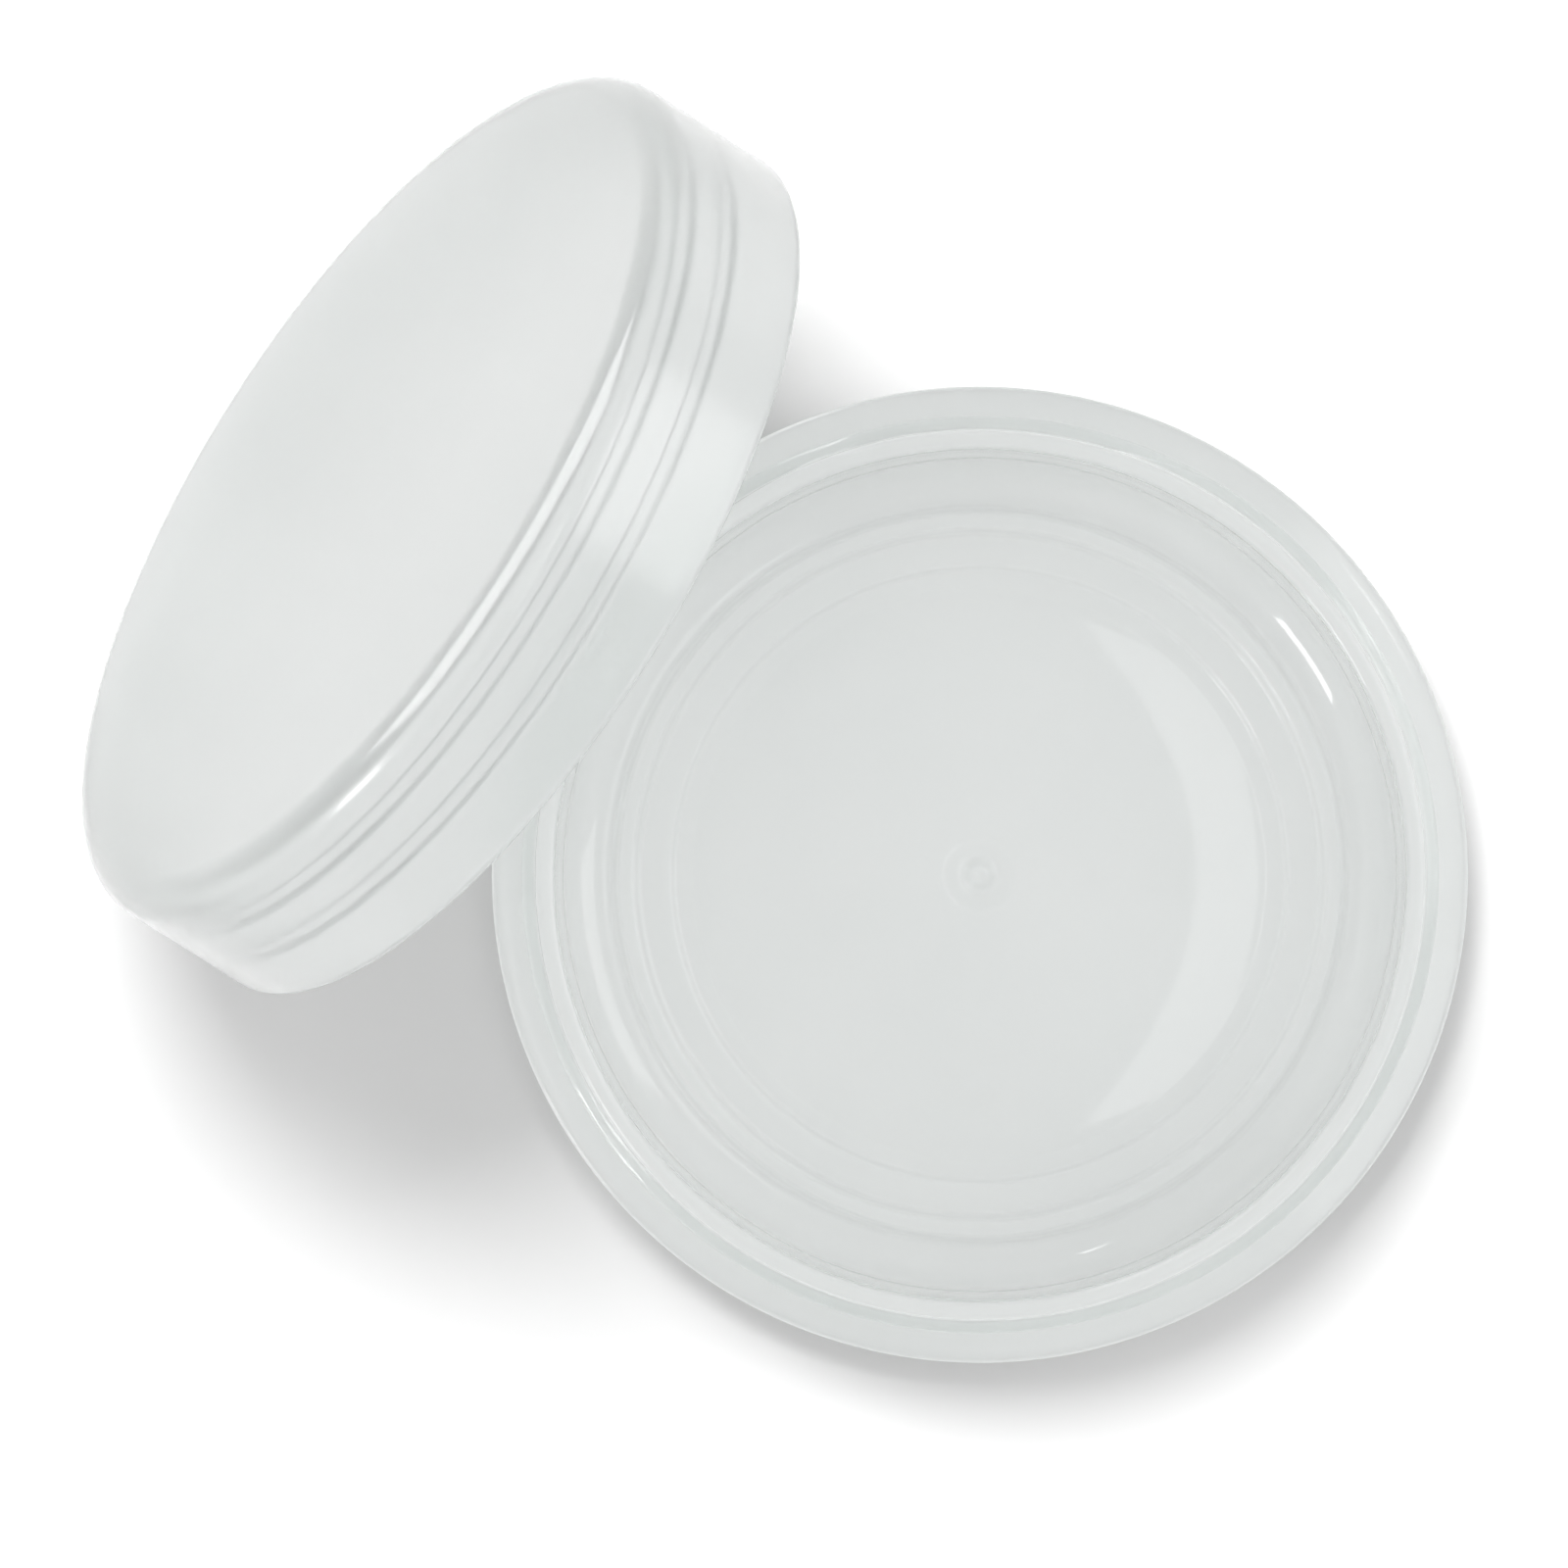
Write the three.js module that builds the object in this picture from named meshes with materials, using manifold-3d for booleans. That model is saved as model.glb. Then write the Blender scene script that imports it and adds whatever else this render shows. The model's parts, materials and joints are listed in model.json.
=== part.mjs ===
// Screw-top coin capsule in translucent polypropylene: a shallow round base with a threaded neck and a
// coin ring on its floor, and a skirted lid with the matching thread inside.
// The lid is off. It stands on the edge of its mouth beside the base, tipped back so that its face looks up.
//
// Millimetres, +Z up. The origin is the middle of the base's flat underside, and the lid stands towards -X.

import * as THREE from "three";
import * as BufferGeometryUtils from "three/addons/utils/BufferGeometryUtils.js";
import Module from "manifold-3d";

const wasm = await Module();
wasm.setup();

// ---- Driving dimensions ----

// The radii build up from the coin: ring, gap, neck, thread, lid and foot, each from the one inside it.
const ringRadius = 17.6; // inside of the coin ring, for coins up to 35 mm
const ringWall = 1.1;
const ringHeight = 0.9;
const ringGap = 2.85; // from the outside of the coin ring to the neck's bore
const dishMargin = 1.7; // flat floor between the coin ring and the shallow dish in the middle
const dishDepth = 0.35;
const gateRadius = 0.65; // moulding gate, the small nub in the middle of the dish
const gateHeight = 0.4;

const footOverhang = 0.2; // how far the foot, the widest part, stands out past the lid
const footHeight = 4.3; // underside to the shoulder that the lid's mouth closes on
const footCorner = 1.2; // round between the underside and the side
const floorThickness = 1.2;
const floorFillet = 2.4; // inside, between the floor and the wall

const lidHeight = 9.2;
const lidWall = 1.15;
const lidPlate = 1.3;
const lidCorner = 1.9; // round between the face and the skirt
const mouthRound = 0.45; // outer edge of the lid's mouth

const threadPitch = 2.6;
const threadDepth = 0.7;
const threadRoot = 1.1; // width of the thread where it meets its wall
const threadCrest = 0.5; // width of its flat top
const threadTurns = 1.6;
const threadTopGap = 0.8; // from the lid's plate to the middle of its thread's last turn
const threadSink = 0.3; // how far the thread's foot is buried in its wall
const threadRunOut = 20; // degrees over which each end of the thread fades into its wall
const threadStart = -108; // degrees round the axis from +X, so that two turns pass each point near +X
const threadClearance = 0.2; // between a crest and the wall that it faces

const neckWall = 1.2;
const neckRound = 0.35; // edges of the neck's rim
const seatGap = 0.3; // between the neck's rim and the lid's plate when the lid is screwed home

const lidTilt = 69.5; // degrees from lying flat, face up
const lidStandOff = 3.6; // from the base's foot to the middle of the lid's mouth, seen from above

const roundSegments = 60; // facets round each piece
const cornerSteps = 4; // facets round each corner

// ---- Sizes that follow ----

const ringOuter = ringRadius + ringWall;
const neckBore = ringOuter + ringGap;
const neckRadius = neckBore + neckWall;
const neckCrest = neckRadius + threadDepth;
const lidBore = neckCrest + threadClearance;
const lidRadius = lidBore + lidWall;
const baseRadius = lidRadius + footOverhang;
const neckHeight = lidHeight - lidPlate - seatGap;
const baseHeight = footHeight + neckHeight;
const dishRadius = ringRadius - dishMargin;
const dishFloor = floorThickness - dishDepth;
const wallFillet = Math.min(floorFillet, ringGap); // the fillet ends where the coin ring starts
const lidMouthOffset = baseRadius + lidStandOff;

// Each thread has whole facets, and the base's runs half a pitch below the lid's when the lid is home.
const threadSteps = Math.round(roundSegments * threadTurns);
const threadSweep = (threadSteps * 2 * Math.PI) / roundSegments;
const threadRise = (threadPitch * threadSweep) / (2 * Math.PI);
const lidThreadFoot = lidHeight - lidPlate - threadTopGap - threadRise;
const baseThreadFoot = footHeight + lidThreadFoot - threadPitch / 2;

// ---- Shapes ----

// Adds to an outline the quarter round about (x, z) from one angle to another, in degrees.
function corner(outline, x, z, radius, from, to) {
  for (let i = 0; i <= cornerSteps; i++) {
    const angle = THREE.MathUtils.degToRad(THREE.MathUtils.lerp(from, to, i / cornerSteps));
    outline.push(new THREE.Vector2(x + radius * Math.cos(angle), z + radius * Math.sin(angle)));
  }
}

function line(outline, ...points) {
  for (const [x, z] of points) outline.push(new THREE.Vector2(x, z));
}

// A closed solid from an outline in (radius, height) that starts and ends on the axis.
function revolve(outline) {
  const geometry = new THREE.LatheGeometry(outline, roundSegments);
  geometry.rotateX(Math.PI / 2); // the lathe's axis is Y, and the part's is Z
  return geometry;
}

// A helical thread on a wall of the given radius. side is 1 where it stands outwards and -1 inwards.
// A straight bar with the thread's section is bent round the axis, rises by the pitch in each turn,
// and fades into the wall at both ends.
function thread(wallRadius, side, foot) {
  const section = new THREE.Shape([
    new THREE.Vector2(-threadRoot / 2, -threadSink),
    new THREE.Vector2(threadRoot / 2, -threadSink),
    new THREE.Vector2(threadRoot / 2, 0),
    new THREE.Vector2(threadCrest / 2, threadDepth),
    new THREE.Vector2(-threadCrest / 2, threadDepth),
    new THREE.Vector2(-threadRoot / 2, 0),
  ]);
  const bar = { depth: threadSweep, steps: threadSteps, bevelEnabled: false };
  const geometry = new THREE.ExtrudeGeometry(section, bar);
  const vertices = geometry.attributes.position;
  const startAngle = THREE.MathUtils.degToRad(threadStart);
  const runOut = THREE.MathUtils.degToRad(threadRunOut);
  const least = (0.8 * threadSink) / (threadSink + threadDepth); // leaves an end's crest just under the wall
  for (let i = 0; i < vertices.count; i++) {
    const angle = vertices.getZ(i);
    const fade = Math.min(1, angle / runOut, (threadSweep - angle) / runOut);
    const share = THREE.MathUtils.lerp(least, 1, Math.max(0, fade));
    const radius = wallRadius + side * ((vertices.getY(i) + threadSink) * share - threadSink);
    vertices.setXYZ(
      i,
      radius * Math.cos(startAngle + angle),
      radius * Math.sin(startAngle + angle),
      foot + vertices.getX(i) + (threadPitch * angle) / (2 * Math.PI),
    );
  }
  return geometry;
}

// ---- Joining solids ----

function toSolid(geometry) {
  const bare = geometry.clone();
  bare.deleteAttribute("normal");
  bare.deleteAttribute("uv");
  const merged = BufferGeometryUtils.mergeVertices(bare, 1e-4);
  const mesh = new wasm.Mesh({
    numProp: 3,
    vertProperties: new Float32Array(merged.attributes.position.array),
    triVerts: new Uint32Array(merged.index.array),
  });
  mesh.merge();
  const solid = new wasm.Manifold(mesh);
  return solid.volume() < 0 ? toSolid(flipped(merged)) : solid;
}

function flipped(geometry) {
  const turned = geometry.clone();
  const index = turned.index.array;
  for (let i = 0; i < index.length; i += 3) [index[i], index[i + 1]] = [index[i + 1], index[i]];
  return turned;
}

function toGeometry(solid) {
  const { vertProperties, triVerts } = solid.getMesh();
  const geometry = new THREE.BufferGeometry();
  geometry.setAttribute("position", new THREE.BufferAttribute(new Float32Array(vertProperties), 3));
  geometry.setIndex(new THREE.BufferAttribute(new Uint32Array(triVerts), 1));
  return geometry;
}

// ---- Base ----

function baseGeometry() {
  const outline = [];
  line(outline, [0, 0]);
  corner(outline, baseRadius - footCorner, footCorner, footCorner, -90, 0);
  line(outline, [baseRadius, footHeight], [neckRadius, footHeight]);
  corner(outline, neckRadius - neckRound, baseHeight - neckRound, neckRound, 0, 90);
  corner(outline, neckBore + neckRound, baseHeight - neckRound, neckRound, 90, 180);
  corner(outline, neckBore - wallFillet, floorThickness + wallFillet, -wallFillet, 180, 90);
  line(
    outline,
    [ringOuter, floorThickness],
    [ringOuter, floorThickness + ringHeight],
    [ringRadius, floorThickness + ringHeight],
    [ringRadius, floorThickness],
    [dishRadius, floorThickness],
    [dishRadius - dishDepth, dishFloor],
    [gateRadius, dishFloor],
    [gateRadius, dishFloor + gateHeight],
    [0, dishFloor + gateHeight],
  );
  return toGeometry(toSolid(revolve(outline)).add(toSolid(thread(neckRadius, 1, baseThreadFoot))));
}

// ---- Lid ----

// The lid is drawn as it sits on the base, with its mouth at height 0 and its face on top.
function lidGeometry() {
  const outline = [];
  const plate = lidHeight - lidPlate;
  line(outline, [0, plate], [lidBore, plate], [lidBore, 0]);
  corner(outline, lidRadius - mouthRound, mouthRound, mouthRound, -90, 0);
  corner(outline, lidRadius - lidCorner, lidHeight - lidCorner, lidCorner, 0, 90);
  line(outline, [0, lidHeight]);
  return toGeometry(toSolid(revolve(outline)).add(toSolid(thread(lidBore, -1, lidThreadFoot))));
}

// ---- Assembly ----

const translucent = { roughness: 0.3, metalness: 0, transparent: true, opacity: 0.85 };

const base = new THREE.Mesh(
  baseGeometry(),
  new THREE.MeshStandardMaterial({ color: 0xdde1e1, ...translucent }),
);
base.name = "base";

const lid = new THREE.Mesh(
  lidGeometry(),
  new THREE.MeshStandardMaterial({ color: 0xdfe3e3, ...translucent }),
);
lid.name = "lid";

// The lid's mouth stands on its rounded edge, so its middle is this far above the ground.
const tilt = THREE.MathUtils.degToRad(lidTilt);
const mouthMiddle =
  (lidRadius - mouthRound) * Math.sin(tilt) - mouthRound * Math.cos(tilt) + mouthRound;

const standingLid = new THREE.Group();
standingLid.position.set(-lidMouthOffset, 0, mouthMiddle);
standingLid.rotation.y = -tilt;
standingLid.add(lid);

const capsule = new THREE.Group();
capsule.add(base, standingLid);

export default capsule;
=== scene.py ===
# Screw-top coin capsule in milky polypropylene: the open base seen from straight above,
# and the lid standing on its edge beside it, tipped back so that its face looks up.
import json
import math

import bpy
import numpy as np
from mathutils import Matrix, Vector


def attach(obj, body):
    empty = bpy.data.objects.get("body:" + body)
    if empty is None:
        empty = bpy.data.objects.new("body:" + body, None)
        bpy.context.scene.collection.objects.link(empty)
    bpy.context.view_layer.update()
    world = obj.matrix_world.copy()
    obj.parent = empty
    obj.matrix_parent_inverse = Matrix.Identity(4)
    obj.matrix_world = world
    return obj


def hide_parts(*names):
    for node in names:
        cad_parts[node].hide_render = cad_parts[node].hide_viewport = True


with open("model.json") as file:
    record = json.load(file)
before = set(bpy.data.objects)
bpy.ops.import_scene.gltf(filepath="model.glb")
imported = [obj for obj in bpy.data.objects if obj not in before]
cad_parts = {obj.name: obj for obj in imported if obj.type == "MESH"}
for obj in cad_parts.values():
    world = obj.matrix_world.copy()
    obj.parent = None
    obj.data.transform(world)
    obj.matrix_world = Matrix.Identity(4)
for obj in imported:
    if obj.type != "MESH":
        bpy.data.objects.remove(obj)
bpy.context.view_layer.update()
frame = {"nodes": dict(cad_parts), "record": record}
print("frame loaded, nodes:", sorted(frame["nodes"]))

mm = 0.001
near = 1e-6  # mm, closer than this counts as the same place
segments = 288  # columns round each shell


# equal steps along the straight line from start to end
def straight(start, end, step):
    start = np.array(start, float)
    end = np.array(end, float)
    count = max(1, round(float(np.hypot(*(end - start))) / step))
    return start + np.linspace(0, 1, count + 1)[:, None] * (end - start)


# equal angles round part of a circle about (x, z)
def arc(x, z, radius, fromDeg, toDeg, steps):
    angle = np.radians(np.linspace(fromDeg, toDeg, steps + 1))
    return np.column_stack((x + radius * np.cos(angle), z + radius * np.sin(angle)))


# 0 before low, 1 after high, and 3t^2 - 2t^3 in between
def smooth(value, low, high):
    t = np.clip((value - low) / (high - low), 0, 1)
    return t * t * (3 - 2 * t)


# stretches laid end to end, without the points that two of them share
def joined(stretches):
    points = np.vstack(stretches)
    gap = np.hypot(*np.diff(points, axis=0).T)
    return points[np.concatenate(([True], gap > near))]


# Height of the thread over its wall. The crest's centre line rises by one pitch in each turn; a point's
# distance from the nearest turn gives the section, level on the crest and eased down both flanks,
# and the first and last degrees of the sweep ease it into the wall.
def threadLift(angle, height, thread):
    turn = (angle - math.radians(thread["start"])) % (2 * np.pi)
    rise = thread["pitch"] / (2 * np.pi)
    sweep = thread["turns"] * 2 * np.pi
    nearest = np.round((height - thread["foot"] - rise * turn) / thread["pitch"])
    swept = turn + 2 * np.pi * np.clip(nearest, 0, math.ceil(thread["turns"]))
    away = np.abs(height - thread["foot"] - rise * swept)
    section = 1 - smooth(away, thread["crest"] / 2, thread["root"] / 2)
    runOut = math.radians(thread["runOut"])
    fade = smooth(swept, 0, runOut) * (1 - smooth(swept, sweep - runOut, sweep))
    return thread["depth"] * section * fade


# Turned shell: every profile point goes once round the axis, and between the thread's two heights the
# radius takes the thread's lift. The profile starts and ends on the axis, where one vertex closes it.
def shellMesh(name, profile, thread, place):
    angle = np.arange(segments) * 2 * np.pi / segments
    radius = np.repeat(profile[1:-1, 0][:, None], segments, axis=1)
    height = np.repeat(profile[1:-1, 1][:, None], segments, axis=1)
    onWall = np.abs(radius - thread["wall"]) < near
    lift = threadLift(angle[None, :], height, thread)
    radius = radius + thread["side"] * lift * onWall
    x = radius * np.cos(angle)
    y = radius * np.sin(angle)
    body = np.stack((x, y, height), axis=-1).reshape(-1, 3)
    ends = np.array([[0, 0, profile[0, 1]], [0, 0, profile[-1, 1]]])
    points = np.vstack((body, ends)) * mm
    points = points @ np.array(place.to_3x3()).T + np.array(place.translation)

    rows = len(profile) - 2
    column = np.arange(segments)
    after = (column + 1) % segments
    low = np.arange(rows - 1)[:, None] * segments
    high = low + segments
    quads = np.stack((low + column, low + after, high + after, high + column), axis=-1).reshape(-1, 4)
    firstPole = rows * segments
    lastRow = (rows - 1) * segments
    firstCap = np.column_stack((np.full(segments, firstPole), after, column))
    lastCap = np.column_stack((lastRow + column, lastRow + after, np.full(segments, firstPole + 1)))
    mesh = bpy.data.meshes.new(name)
    mesh.from_pydata(points.tolist(), [], quads.tolist() + firstCap.tolist() + lastCap.tolist())
    mesh.polygons.foreach_set("use_smooth", np.ones(len(mesh.polygons), bool))
    mesh.update()
    piece = bpy.data.objects.new(name, mesh)
    bpy.context.scene.collection.objects.link(piece)
    print(f"{name}: {len(mesh.vertices)} vertices, {len(quads) * 2 + segments * 2} triangles")
    return piece


# in this and the dictionaries below, lengths are in mm and angles in degrees unless a note says otherwise
base = {
    "radius": 25.0,
    "footHeight": 4.3,
    "footCorner": 1.2,
    "shoulderRound": 0.25,
    "floor": 1.2,
    "floorFillet": 2.4,
    "height": 11.9,
    "neckRadius": 22.75,
    "neckBore": 21.55,
    "boreDraft": 0.2,  # the bore is this much wider at the rim and narrower at the fillet
    "neckRound": 0.35,
    "ringOuter": 18.7,
    "ringInner": 17.6,
    "ringHeight": 0.9,
    "ringDraft": 0.5,  # width of each eased side of the coin ring
    "dishRadius": 15.9,
    "dishStep": 0.35,  # width of the step down into the dish
    "dishDepth": 0.35,
    "domeRadius": 14.7,  # inside this radius the dish's floor swells again
    "domeHeight": 0.45,
    "domePower": 5.5,  # how late the swell's top falls away
    "gateRadius": 0.95,
    "gateTop": 0.3,  # share of that radius at which the nub starts to fall away
    "gateHeight": 0.5,
    "gateDent": 0.08,  # depth of the broken tip inside the nub
    "dentRadius": 0.475,
    "gateDimple": 2.0,
    "dimpleDepth": 0.22,
    "rowStep": 0.5,  # mm between rows along plain walls
    "flatRow": 1.5,  # across the flat underside
    "threadRow": 0.08,  # along the threaded wall
    "ringRow": 0.07,  # across the coin ring and the dish's step
    "dishRow": 0.3,  # across the dish
    "dishRowsTo": 13.7,  # radius inside which the dish's wider rows will do
    "gateRow": 0.05,  # across the nub and its dimple
    "cornerRows": 12,
    "shoulderRows": 6,
    "rimRows": 8,
    "filletRows": 16,
    "bend": 1.13,  # index that the haze leaves for what shows through
    "gloss": 0.05,  # roughness of the skin's highlights
}
baseThread = {
    "wall": base["neckRadius"],
    "side": 1,  # 1 stands out of the wall, -1 into the bore
    "foot": 5.94,  # height of the crest's line where the thread starts
    "pitch": 2.6,
    "turns": 1.6,
    "start": -108,
    "runOut": 20,
    "depth": 0.7,
    "crest": 0.5,  # width of the thread at its crest
    "root": 1.1,  # and at its wall
}


# Floor inside the wall's fillet as height over radius: level, the coin ring with two eased sides, one eased
# step down into the dish, a swell that falls by a power of the radius to nothing at its rim, a dimple and
# the gate's nub with a dent where the sprue broke off.
def floorHeight(radius, b):
    half = b["ringDraft"] / 2
    ringIn = smooth(radius, b["ringInner"] - half, b["ringInner"] + half)
    ringOut = smooth(radius, b["ringOuter"] - half, b["ringOuter"] + half)
    step = b["dishDepth"] * (1 - smooth(radius, b["dishRadius"] - b["dishStep"], b["dishRadius"]))
    dome = b["domeHeight"] * (1 - np.minimum(1, radius / b["domeRadius"]) ** b["domePower"])
    dimple = b["dimpleDepth"] * (1 - smooth(radius, b["gateRadius"], b["gateDimple"]))
    nub = b["gateHeight"] * (1 - smooth(radius, b["gateTop"] * b["gateRadius"], b["gateRadius"]))
    nub = nub - b["gateDent"] * (1 - smooth(radius, 0, b["dentRadius"]))
    return b["floor"] + b["ringHeight"] * (ringIn - ringOut) - step + dome - dimple + nub


# Half section of the base as radius and height: from the middle of the underside out and up the foot, over
# its shoulder to the neck and its rim, down the bore and its fillet, and in along the floor. Plain stretches
# are straight lines, every edge is a part circle, and the floor's height comes from floorHeight.
def baseProfile(b):
    shoulder = b["shoulderRound"]
    rim = b["neckRound"]
    fillet = b["floorFillet"]
    wide = b["neckBore"] + b["boreDraft"]
    narrow = b["neckBore"] - b["boreDraft"]
    inside = np.concatenate((
        np.arange(narrow - fillet, b["dishRowsTo"], -b["ringRow"]),
        np.arange(b["dishRowsTo"], b["gateDimple"], -b["dishRow"]),
        np.arange(b["gateDimple"], b["gateRow"] / 2, -b["gateRow"]),
        [0.0],
    ))
    return joined([
        straight((0, 0), (b["radius"] - b["footCorner"], 0), b["flatRow"]),
        arc(b["radius"] - b["footCorner"], b["footCorner"], b["footCorner"], -90, 0, b["cornerRows"]),
        straight((b["radius"], b["footCorner"]), (b["radius"], b["footHeight"] - shoulder), b["rowStep"]),
        arc(b["radius"] - shoulder, b["footHeight"] - shoulder, shoulder, 0, 90, b["shoulderRows"]),
        arc(b["neckRadius"] + shoulder, b["footHeight"] + shoulder, shoulder, 270, 180, b["shoulderRows"]),
        straight(
            (b["neckRadius"], b["footHeight"] + shoulder),
            (b["neckRadius"], b["height"] - rim),
            b["threadRow"],
        ),
        arc(b["neckRadius"] - rim, b["height"] - rim, rim, 0, 90, b["rimRows"]),
        arc(wide + rim, b["height"] - rim, rim, 90, 180, b["rimRows"]),
        straight((wide, b["height"] - rim), (narrow, b["floor"] + fillet), b["rowStep"]),
        arc(narrow - fillet, b["floor"] + fillet, fillet, 0, -90, b["filletRows"]),
        np.column_stack((inside, floorHeight(inside, b))),
    ])


lid = {
    "radius": 24.8,
    "height": 9.2,
    "bore": 23.65,
    "plate": 1.3,
    "corner": 1.9,
    "mouthRound": 0.45,
    "innerRound": 0.25,
    "plateFillet": 0.5,
    "faceDish": 0.12,  # the face sinks by this much in the middle, as a cooled plate does
    "rowStep": 0.5,  # mm between rows along the skirt
    "threadRow": 0.06,  # along the threaded wall
    "plateRow": 1.5,  # across the plate's inside
    "faceRow": 1.0,  # across the face
    "filletRows": 6,
    "innerRows": 5,
    "mouthRows": 8,
    "cornerRows": 20,
    "bend": 1.22,
    "gloss": 0.14,
}
lidThread = {
    "wall": lid["bore"],
    "side": -1,
    "foot": 2.94,
    "pitch": 2.6,
    "turns": 1.6,
    "start": -108,
    "runOut": 20,
    "depth": 0.7,
    "crest": 0.5,
    "root": 1.1,
}


# Half section of the lid as radius and height, with its mouth at height 0 and its face on top: from the middle
# of the plate's inside out and down the bore, round the mouth's edge, up the skirt and over the rounded
# corner. The face sinks towards the middle by the same easing as smooth.
def lidProfile(c):
    plate = c["height"] - c["plate"]
    fillet = c["plateFillet"]
    edge = c["innerRound"]
    mouth = c["mouthRound"]
    corner = c["corner"]
    face = np.arange(c["radius"] - corner, near, -c["faceRow"])
    face = np.append(face, 0.0)
    sunk = c["height"] - c["faceDish"] * (1 - smooth(face, 0, c["radius"] - corner))
    return joined([
        straight((0, plate), (c["bore"] - fillet, plate), c["plateRow"]),
        arc(c["bore"] - fillet, plate - fillet, fillet, 90, 0, c["filletRows"]),
        straight((c["bore"], plate - fillet), (c["bore"], edge), c["threadRow"]),
        arc(c["bore"] + edge, edge, edge, 180, 270, c["innerRows"]),
        arc(c["radius"] - mouth, mouth, mouth, -90, 0, c["mouthRows"]),
        straight((c["radius"], mouth), (c["radius"], c["height"] - corner), c["rowStep"]),
        arc(c["radius"] - corner, c["height"] - corner, corner, 0, 90, c["cornerRows"]),
        np.column_stack((face, sunk)),
    ])


# the lid's own axes as the frame holds them: z out of the face, y as the part's
def lidPlace(c):
    mount = next(m for m in frame["record"]["mounts"] if m["name"] == "lid_face")
    zAxis = Vector(mount["axis"]).normalized()
    yAxis = Vector((0, 1, 0))
    xAxis = yAxis.cross(zAxis)
    turn = Matrix((xAxis, yAxis, zAxis)).transposed().to_4x4()
    mouth = Vector(mount["pos_m"]) - zAxis * c["height"] * mm
    return Matrix.Translation(mouth) @ turn


# sRGB hex to linear red, green, blue, alpha
def colour(code):
    value = np.array([int(code[i : i + 2], 16) for i in (1, 3, 5)]) / 255
    linear = np.where(value <= 0.04045, value / 12.92, ((value + 0.055) / 1.055) ** 2.4)
    return (*linear.tolist(), 1.0)


# one node with its settings, and its inputs set to numbers or linked to sockets
def node(tree, kind, settings=None, **inputs):
    made = tree.nodes.new(kind)
    for key, value in (settings or {}).items():
        setattr(made, key, value)
    for key, value in inputs.items():
        name = key.replace("_", " ")
        socket = made.inputs[int(name[1:])] if name[1:].isdigit() else made.inputs[name]
        if isinstance(value, bpy.types.NodeSocket):
            tree.links.new(value, socket)
        else:
            socket.default_value = value
    return made


polypropylene = {
    "pale": "#f9fbfa",
    "deep": "#f4f7f6",
    "ior": 1.49,  # natural polypropylene
    "transmission": 0.78,  # share of the light that goes through the milk
    "blur": 0.34,  # roughness that the haze gives to what shows through
    "cloud": 9.0,  # mm across one patch of the melt's haze
    "peel": 2.4,  # mm between the skin's soft ripples
    "peelHeight": 0.0015,  # mm
}


# Natural polypropylene, injection moulded against a polished tool: the eye sees a milky plastic that blurs
# what lies behind it, a slow haze from the melt's flow, a faint ripple in the skin and glossy highlights.
# The haze bends less of what shows through than clear plastic would.
def moulded(name, place, piece):
    p = polypropylene
    material = bpy.data.materials.new(name)
    material.use_nodes = True
    tree = material.node_tree
    tree.nodes.clear()
    where = node(tree, "ShaderNodeTexCoord").outputs["Object"]
    back = place.inverted()
    local = node(
        tree,
        "ShaderNodeMapping",
        Vector=where,
        Location=tuple(back.translation),
        Rotation=tuple(back.to_euler("XYZ")),
    ).outputs["Vector"]
    haze = node(tree, "ShaderNodeTexNoise", Vector=local, Scale=1 / (p["cloud"] * mm), Detail=3.0)
    tint = node(
        tree,
        "ShaderNodeMix",
        {"data_type": "RGBA"},
        Factor=haze.outputs["Fac"],
        i6=colour(p["pale"]),
        i7=colour(p["deep"]),
    )
    peel = node(tree, "ShaderNodeTexNoise", Vector=local, Scale=1 / (p["peel"] * mm), Detail=2.0)
    bump = node(
        tree,
        "ShaderNodeBump",
        Height=peel.outputs["Fac"],
        Distance=p["peelHeight"] * mm,
        Strength=1.0,
    )
    shader = node(
        tree,
        "ShaderNodeBsdfPrincipled",
        Base_Color=tint.outputs[2],
        Roughness=p["blur"],
        IOR=piece["bend"],
        Transmission_Weight=p["transmission"],
        Coat_Weight=1.0,
        Coat_Roughness=piece["gloss"],
        Coat_IOR=p["ior"],
        Normal=bump.outputs["Normal"],
        Coat_Normal=bump.outputs["Normal"],
    )
    node(tree, "ShaderNodeOutputMaterial", Surface=shader.outputs["BSDF"])
    return material


upright = Matrix.Identity(4)
baseShell = shellMesh("baseShell", baseProfile(base), baseThread, upright)
baseShell.data.materials.append(moulded("milkyPolypropyleneBase", upright, base))
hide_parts("base")
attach(baseShell, "base")

leaning = lidPlace(lid)
lidShell = shellMesh("lidShell", lidProfile(lid), lidThread, leaning)
lidShell.data.materials.append(moulded("milkyPolypropyleneLid", leaning, lid))
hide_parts("lid")
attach(lidShell, "lid")

stage = {
    "floorSize": 6.0,
    "floorDrop": 0.08,  # mm below the underside, so that the two faces don't lie in one plane
    "floorColour": "#bcbcbc",
    "cameraLift": 0.15,  # added to what the camera sees, so that the lit floor reads as white
    "mirrorLift": 0.10,  # the same for what the plastic mirrors
    "throughGlow": 0.785,  # the floor's level as seen through the plastic
    "world": 0.758,
    "sensor": 36.0,
    "distance": 3.0,  # far enough for both pieces to show at one scale
    "reach": 20.0,
    "view": 0.0804,  # width that the frame takes in at the floor
    "eye": (-0.01096, -0.00143),
    "turn": 32.3,  # the frame's right is this many degrees back from +X
}
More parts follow.
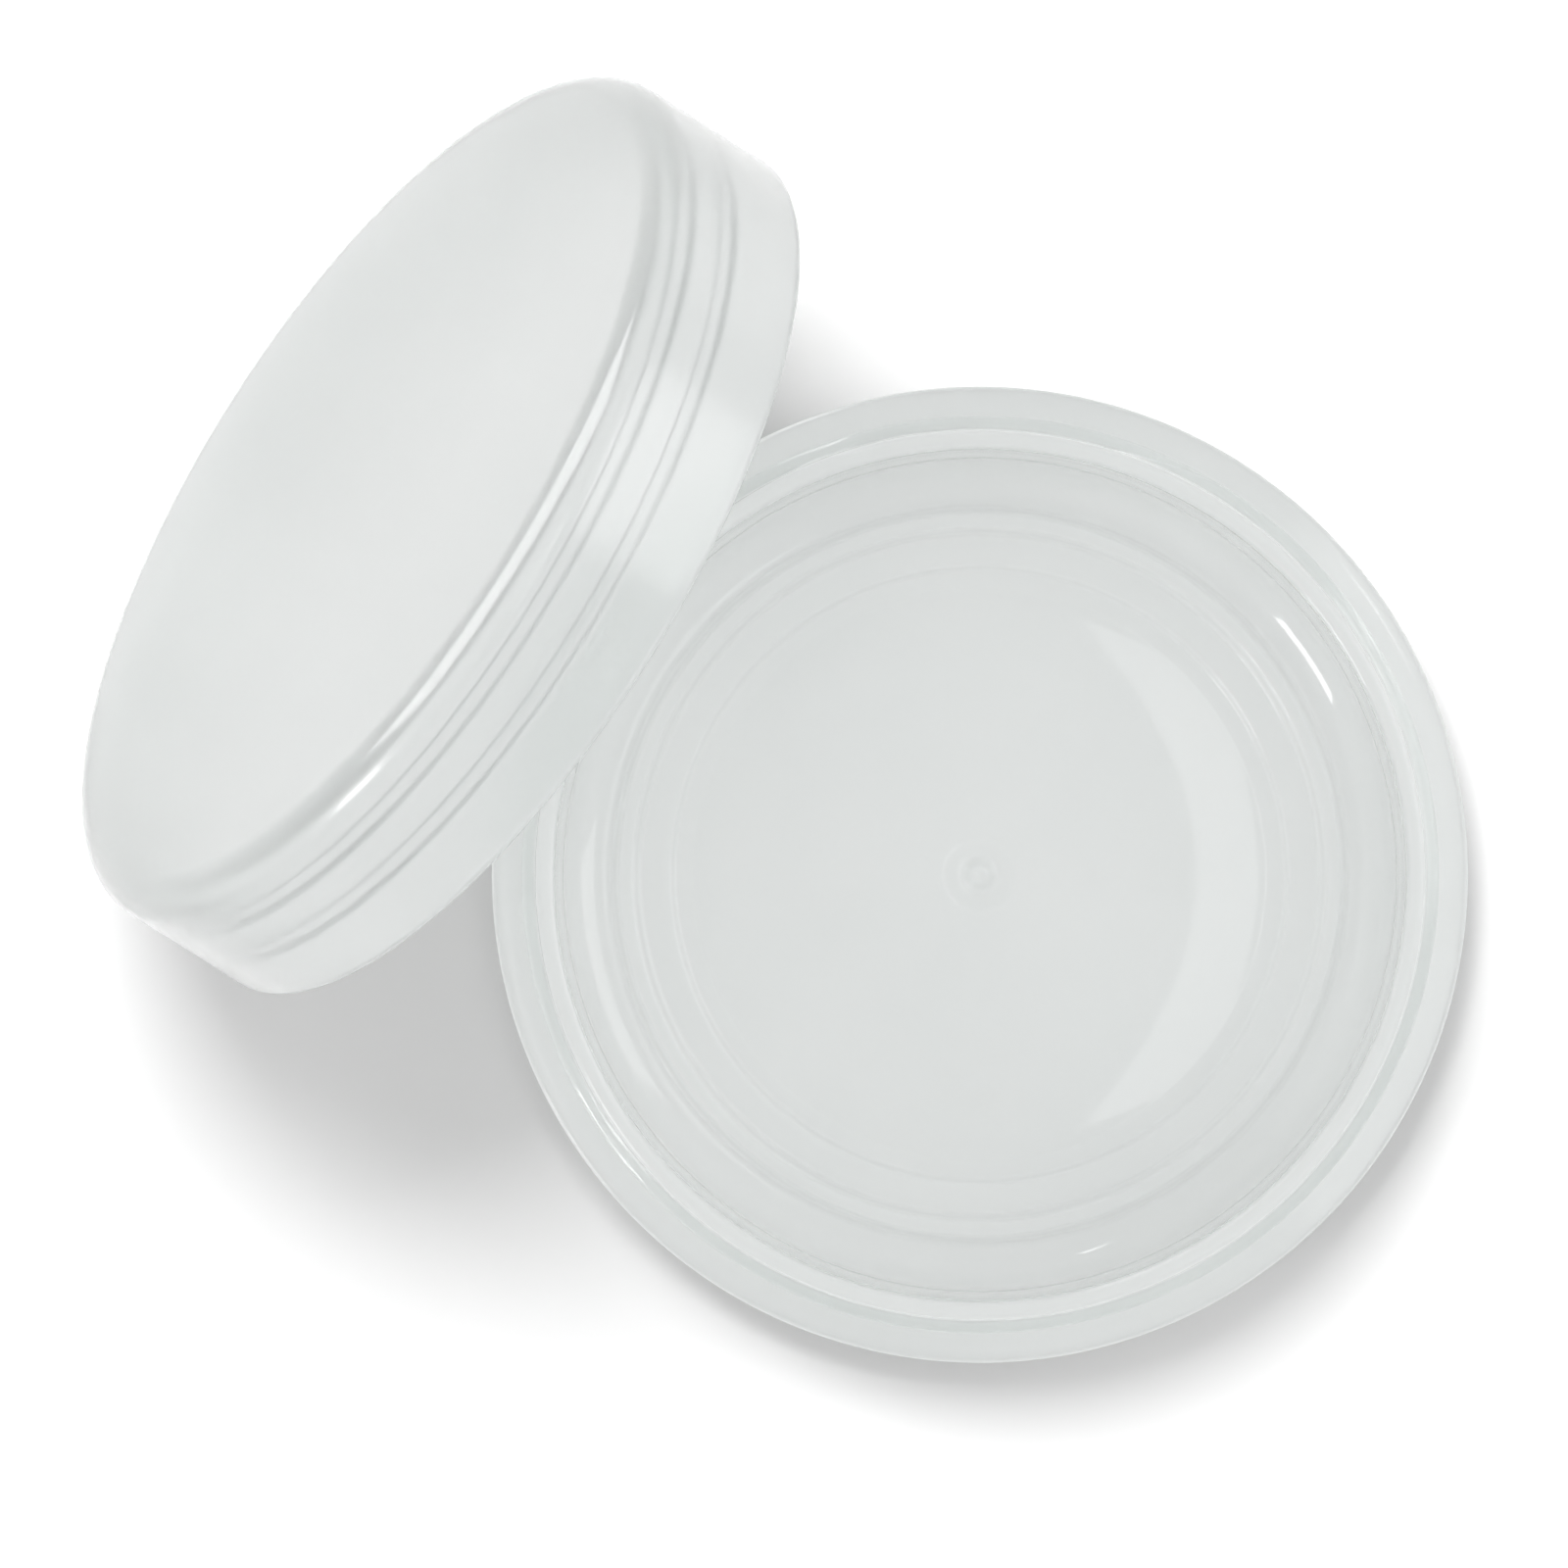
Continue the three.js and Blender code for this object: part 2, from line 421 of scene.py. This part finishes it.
# azimuth from +X and angle from the zenith in degrees, distance, width and height in metres, radiance
panels = {
    "overheadPanel": (32, 12, 1.5, 0.8, 0.30, 1.1),  # the crescent in the dish
    "rightPanel": (46, 57, 1.4, 0.8, 0.9, 1.35),  # the bright patch on the lid's skirt
    "leftPanel": (246, 60, 1.4, 0.3, 0.34, 7.5),  # the spot on the lid's lower edge
    "farPanel": (174, 64, 1.6, 1.9, 1.0, 4.9),  # the long highlight on the lid's rounded edge
    "shadowPanel": (144, 27, 1.6, 0.6, 0.6, 24.5),  # the soft shadows on the floor
}


def paleFloor(s):
    size = s["floorSize"] / 2
    drop = -s["floorDrop"] * mm
    corners = [(-size, -size, drop), (size, -size, drop), (size, size, drop), (-size, size, drop)]
    mesh = bpy.data.meshes.new("floor")
    mesh.from_pydata(corners, [], [(0, 1, 2, 3)])
    floor = bpy.data.objects.new("floor", mesh)
    bpy.context.scene.collection.objects.link(floor)
    material = bpy.data.materials.new("paleFloor")
    material.use_nodes = True
    tree = material.node_tree
    tree.nodes.clear()
    matt = node(tree, "ShaderNodeBsdfDiffuse", Color=colour(s["floorColour"]))
    path = node(tree, "ShaderNodeLightPath")
    lift = 0.0
    for ray, share in (("Camera", "cameraLift"), ("Glossy", "mirrorLift")):
        added = node(
            tree,
            "ShaderNodeMath",
            {"operation": "MULTIPLY_ADD"},
            i0=path.outputs[f"Is {ray} Ray"],
            i1=s[share],
            i2=lift,
        )
        lift = added.outputs["Value"]
    glow = node(tree, "ShaderNodeEmission", Strength=lift)
    both = node(tree, "ShaderNodeAddShader", i0=matt.outputs["BSDF"], i1=glow.outputs["Emission"])
    through = node(tree, "ShaderNodeEmission", Strength=s["throughGlow"])
    shown = node(
        tree,
        "ShaderNodeMixShader",
        i0=path.outputs["Is Transmission Ray"],
        i1=both.outputs["Shader"],
        i2=through.outputs["Emission"],
    )
    node(tree, "ShaderNodeOutputMaterial", Surface=shown.outputs["Shader"])
    mesh.materials.append(material)
    return floor


def paleWorld(s):
    world = bpy.data.worlds.new("paleRoom")
    bpy.context.scene.world = world
    world.use_nodes = True
    tree = world.node_tree
    tree.nodes.clear()
    path = node(tree, "ShaderNodeLightPath")
    strength = node(
        tree,
        "ShaderNodeMapRange",
        Value=path.outputs["Is Camera Ray"],
        To_Min=s["world"],
        To_Max=1.0,
    )
    white = (1.0, 1.0, 1.0, 1.0)
    sky = node(tree, "ShaderNodeBackground", Color=white, Strength=strength.outputs["Result"])
    node(tree, "ShaderNodeOutputWorld", Surface=sky.outputs["Background"])


# a soft panel that faces the object: azimuth and zenith angle give where it hangs, height runs towards the
# zenith and width across that, and radiance is how bright it looks
def softbox(name, azimuth, zenith, distance, width, height, radiance):
    light = bpy.data.lights.new(name, "AREA")
    light.shape = "RECTANGLE"
    light.size = width
    light.size_y = height
    light.energy = radiance * 4 * width * height  # watts that give a panel of this size that radiance
    panel = bpy.data.objects.new(name, light)
    bpy.context.scene.collection.objects.link(panel)
    a = math.radians(azimuth)
    z = math.radians(zenith)
    out = Vector((math.cos(a) * math.sin(z), math.sin(a) * math.sin(z), math.cos(z)))
    panel.location = out * distance
    panel.rotation_euler = out.to_track_quat("Z", "Y").to_euler()
    return panel


def lookDown(s):
    eye = bpy.data.cameras.new("eye")
    eye.sensor_width = s["sensor"]
    eye.lens = s["sensor"] * s["distance"] / s["view"]
    eye.clip_end = s["reach"]
    camera = bpy.data.objects.new("eye", eye)
    bpy.context.scene.collection.objects.link(camera)
    camera.location = (*s["eye"], s["distance"])
    camera.rotation_euler = (0, 0, math.radians(s["turn"]))
    bpy.context.scene.camera = camera


lookDown(stage)
floor = paleFloor(stage)
paleWorld(stage)
lamps = {name: softbox(name, *values) for name, values in panels.items()}
# the far one shows only in the gloss
lamps["farPanel"].visible_diffuse = False
lamps["farPanel"].visible_transmission = False
# and this one lights nothing but the floor
floorOnly = bpy.data.collections.new("floorOnly")
floorOnly.objects.link(floor)
lamps["shadowPanel"].light_linking.receiver_collection = floorOnly
bpy.context.scene.view_settings.view_transform = "Standard"
print("stage ready")

bpy.context.view_layer.update()
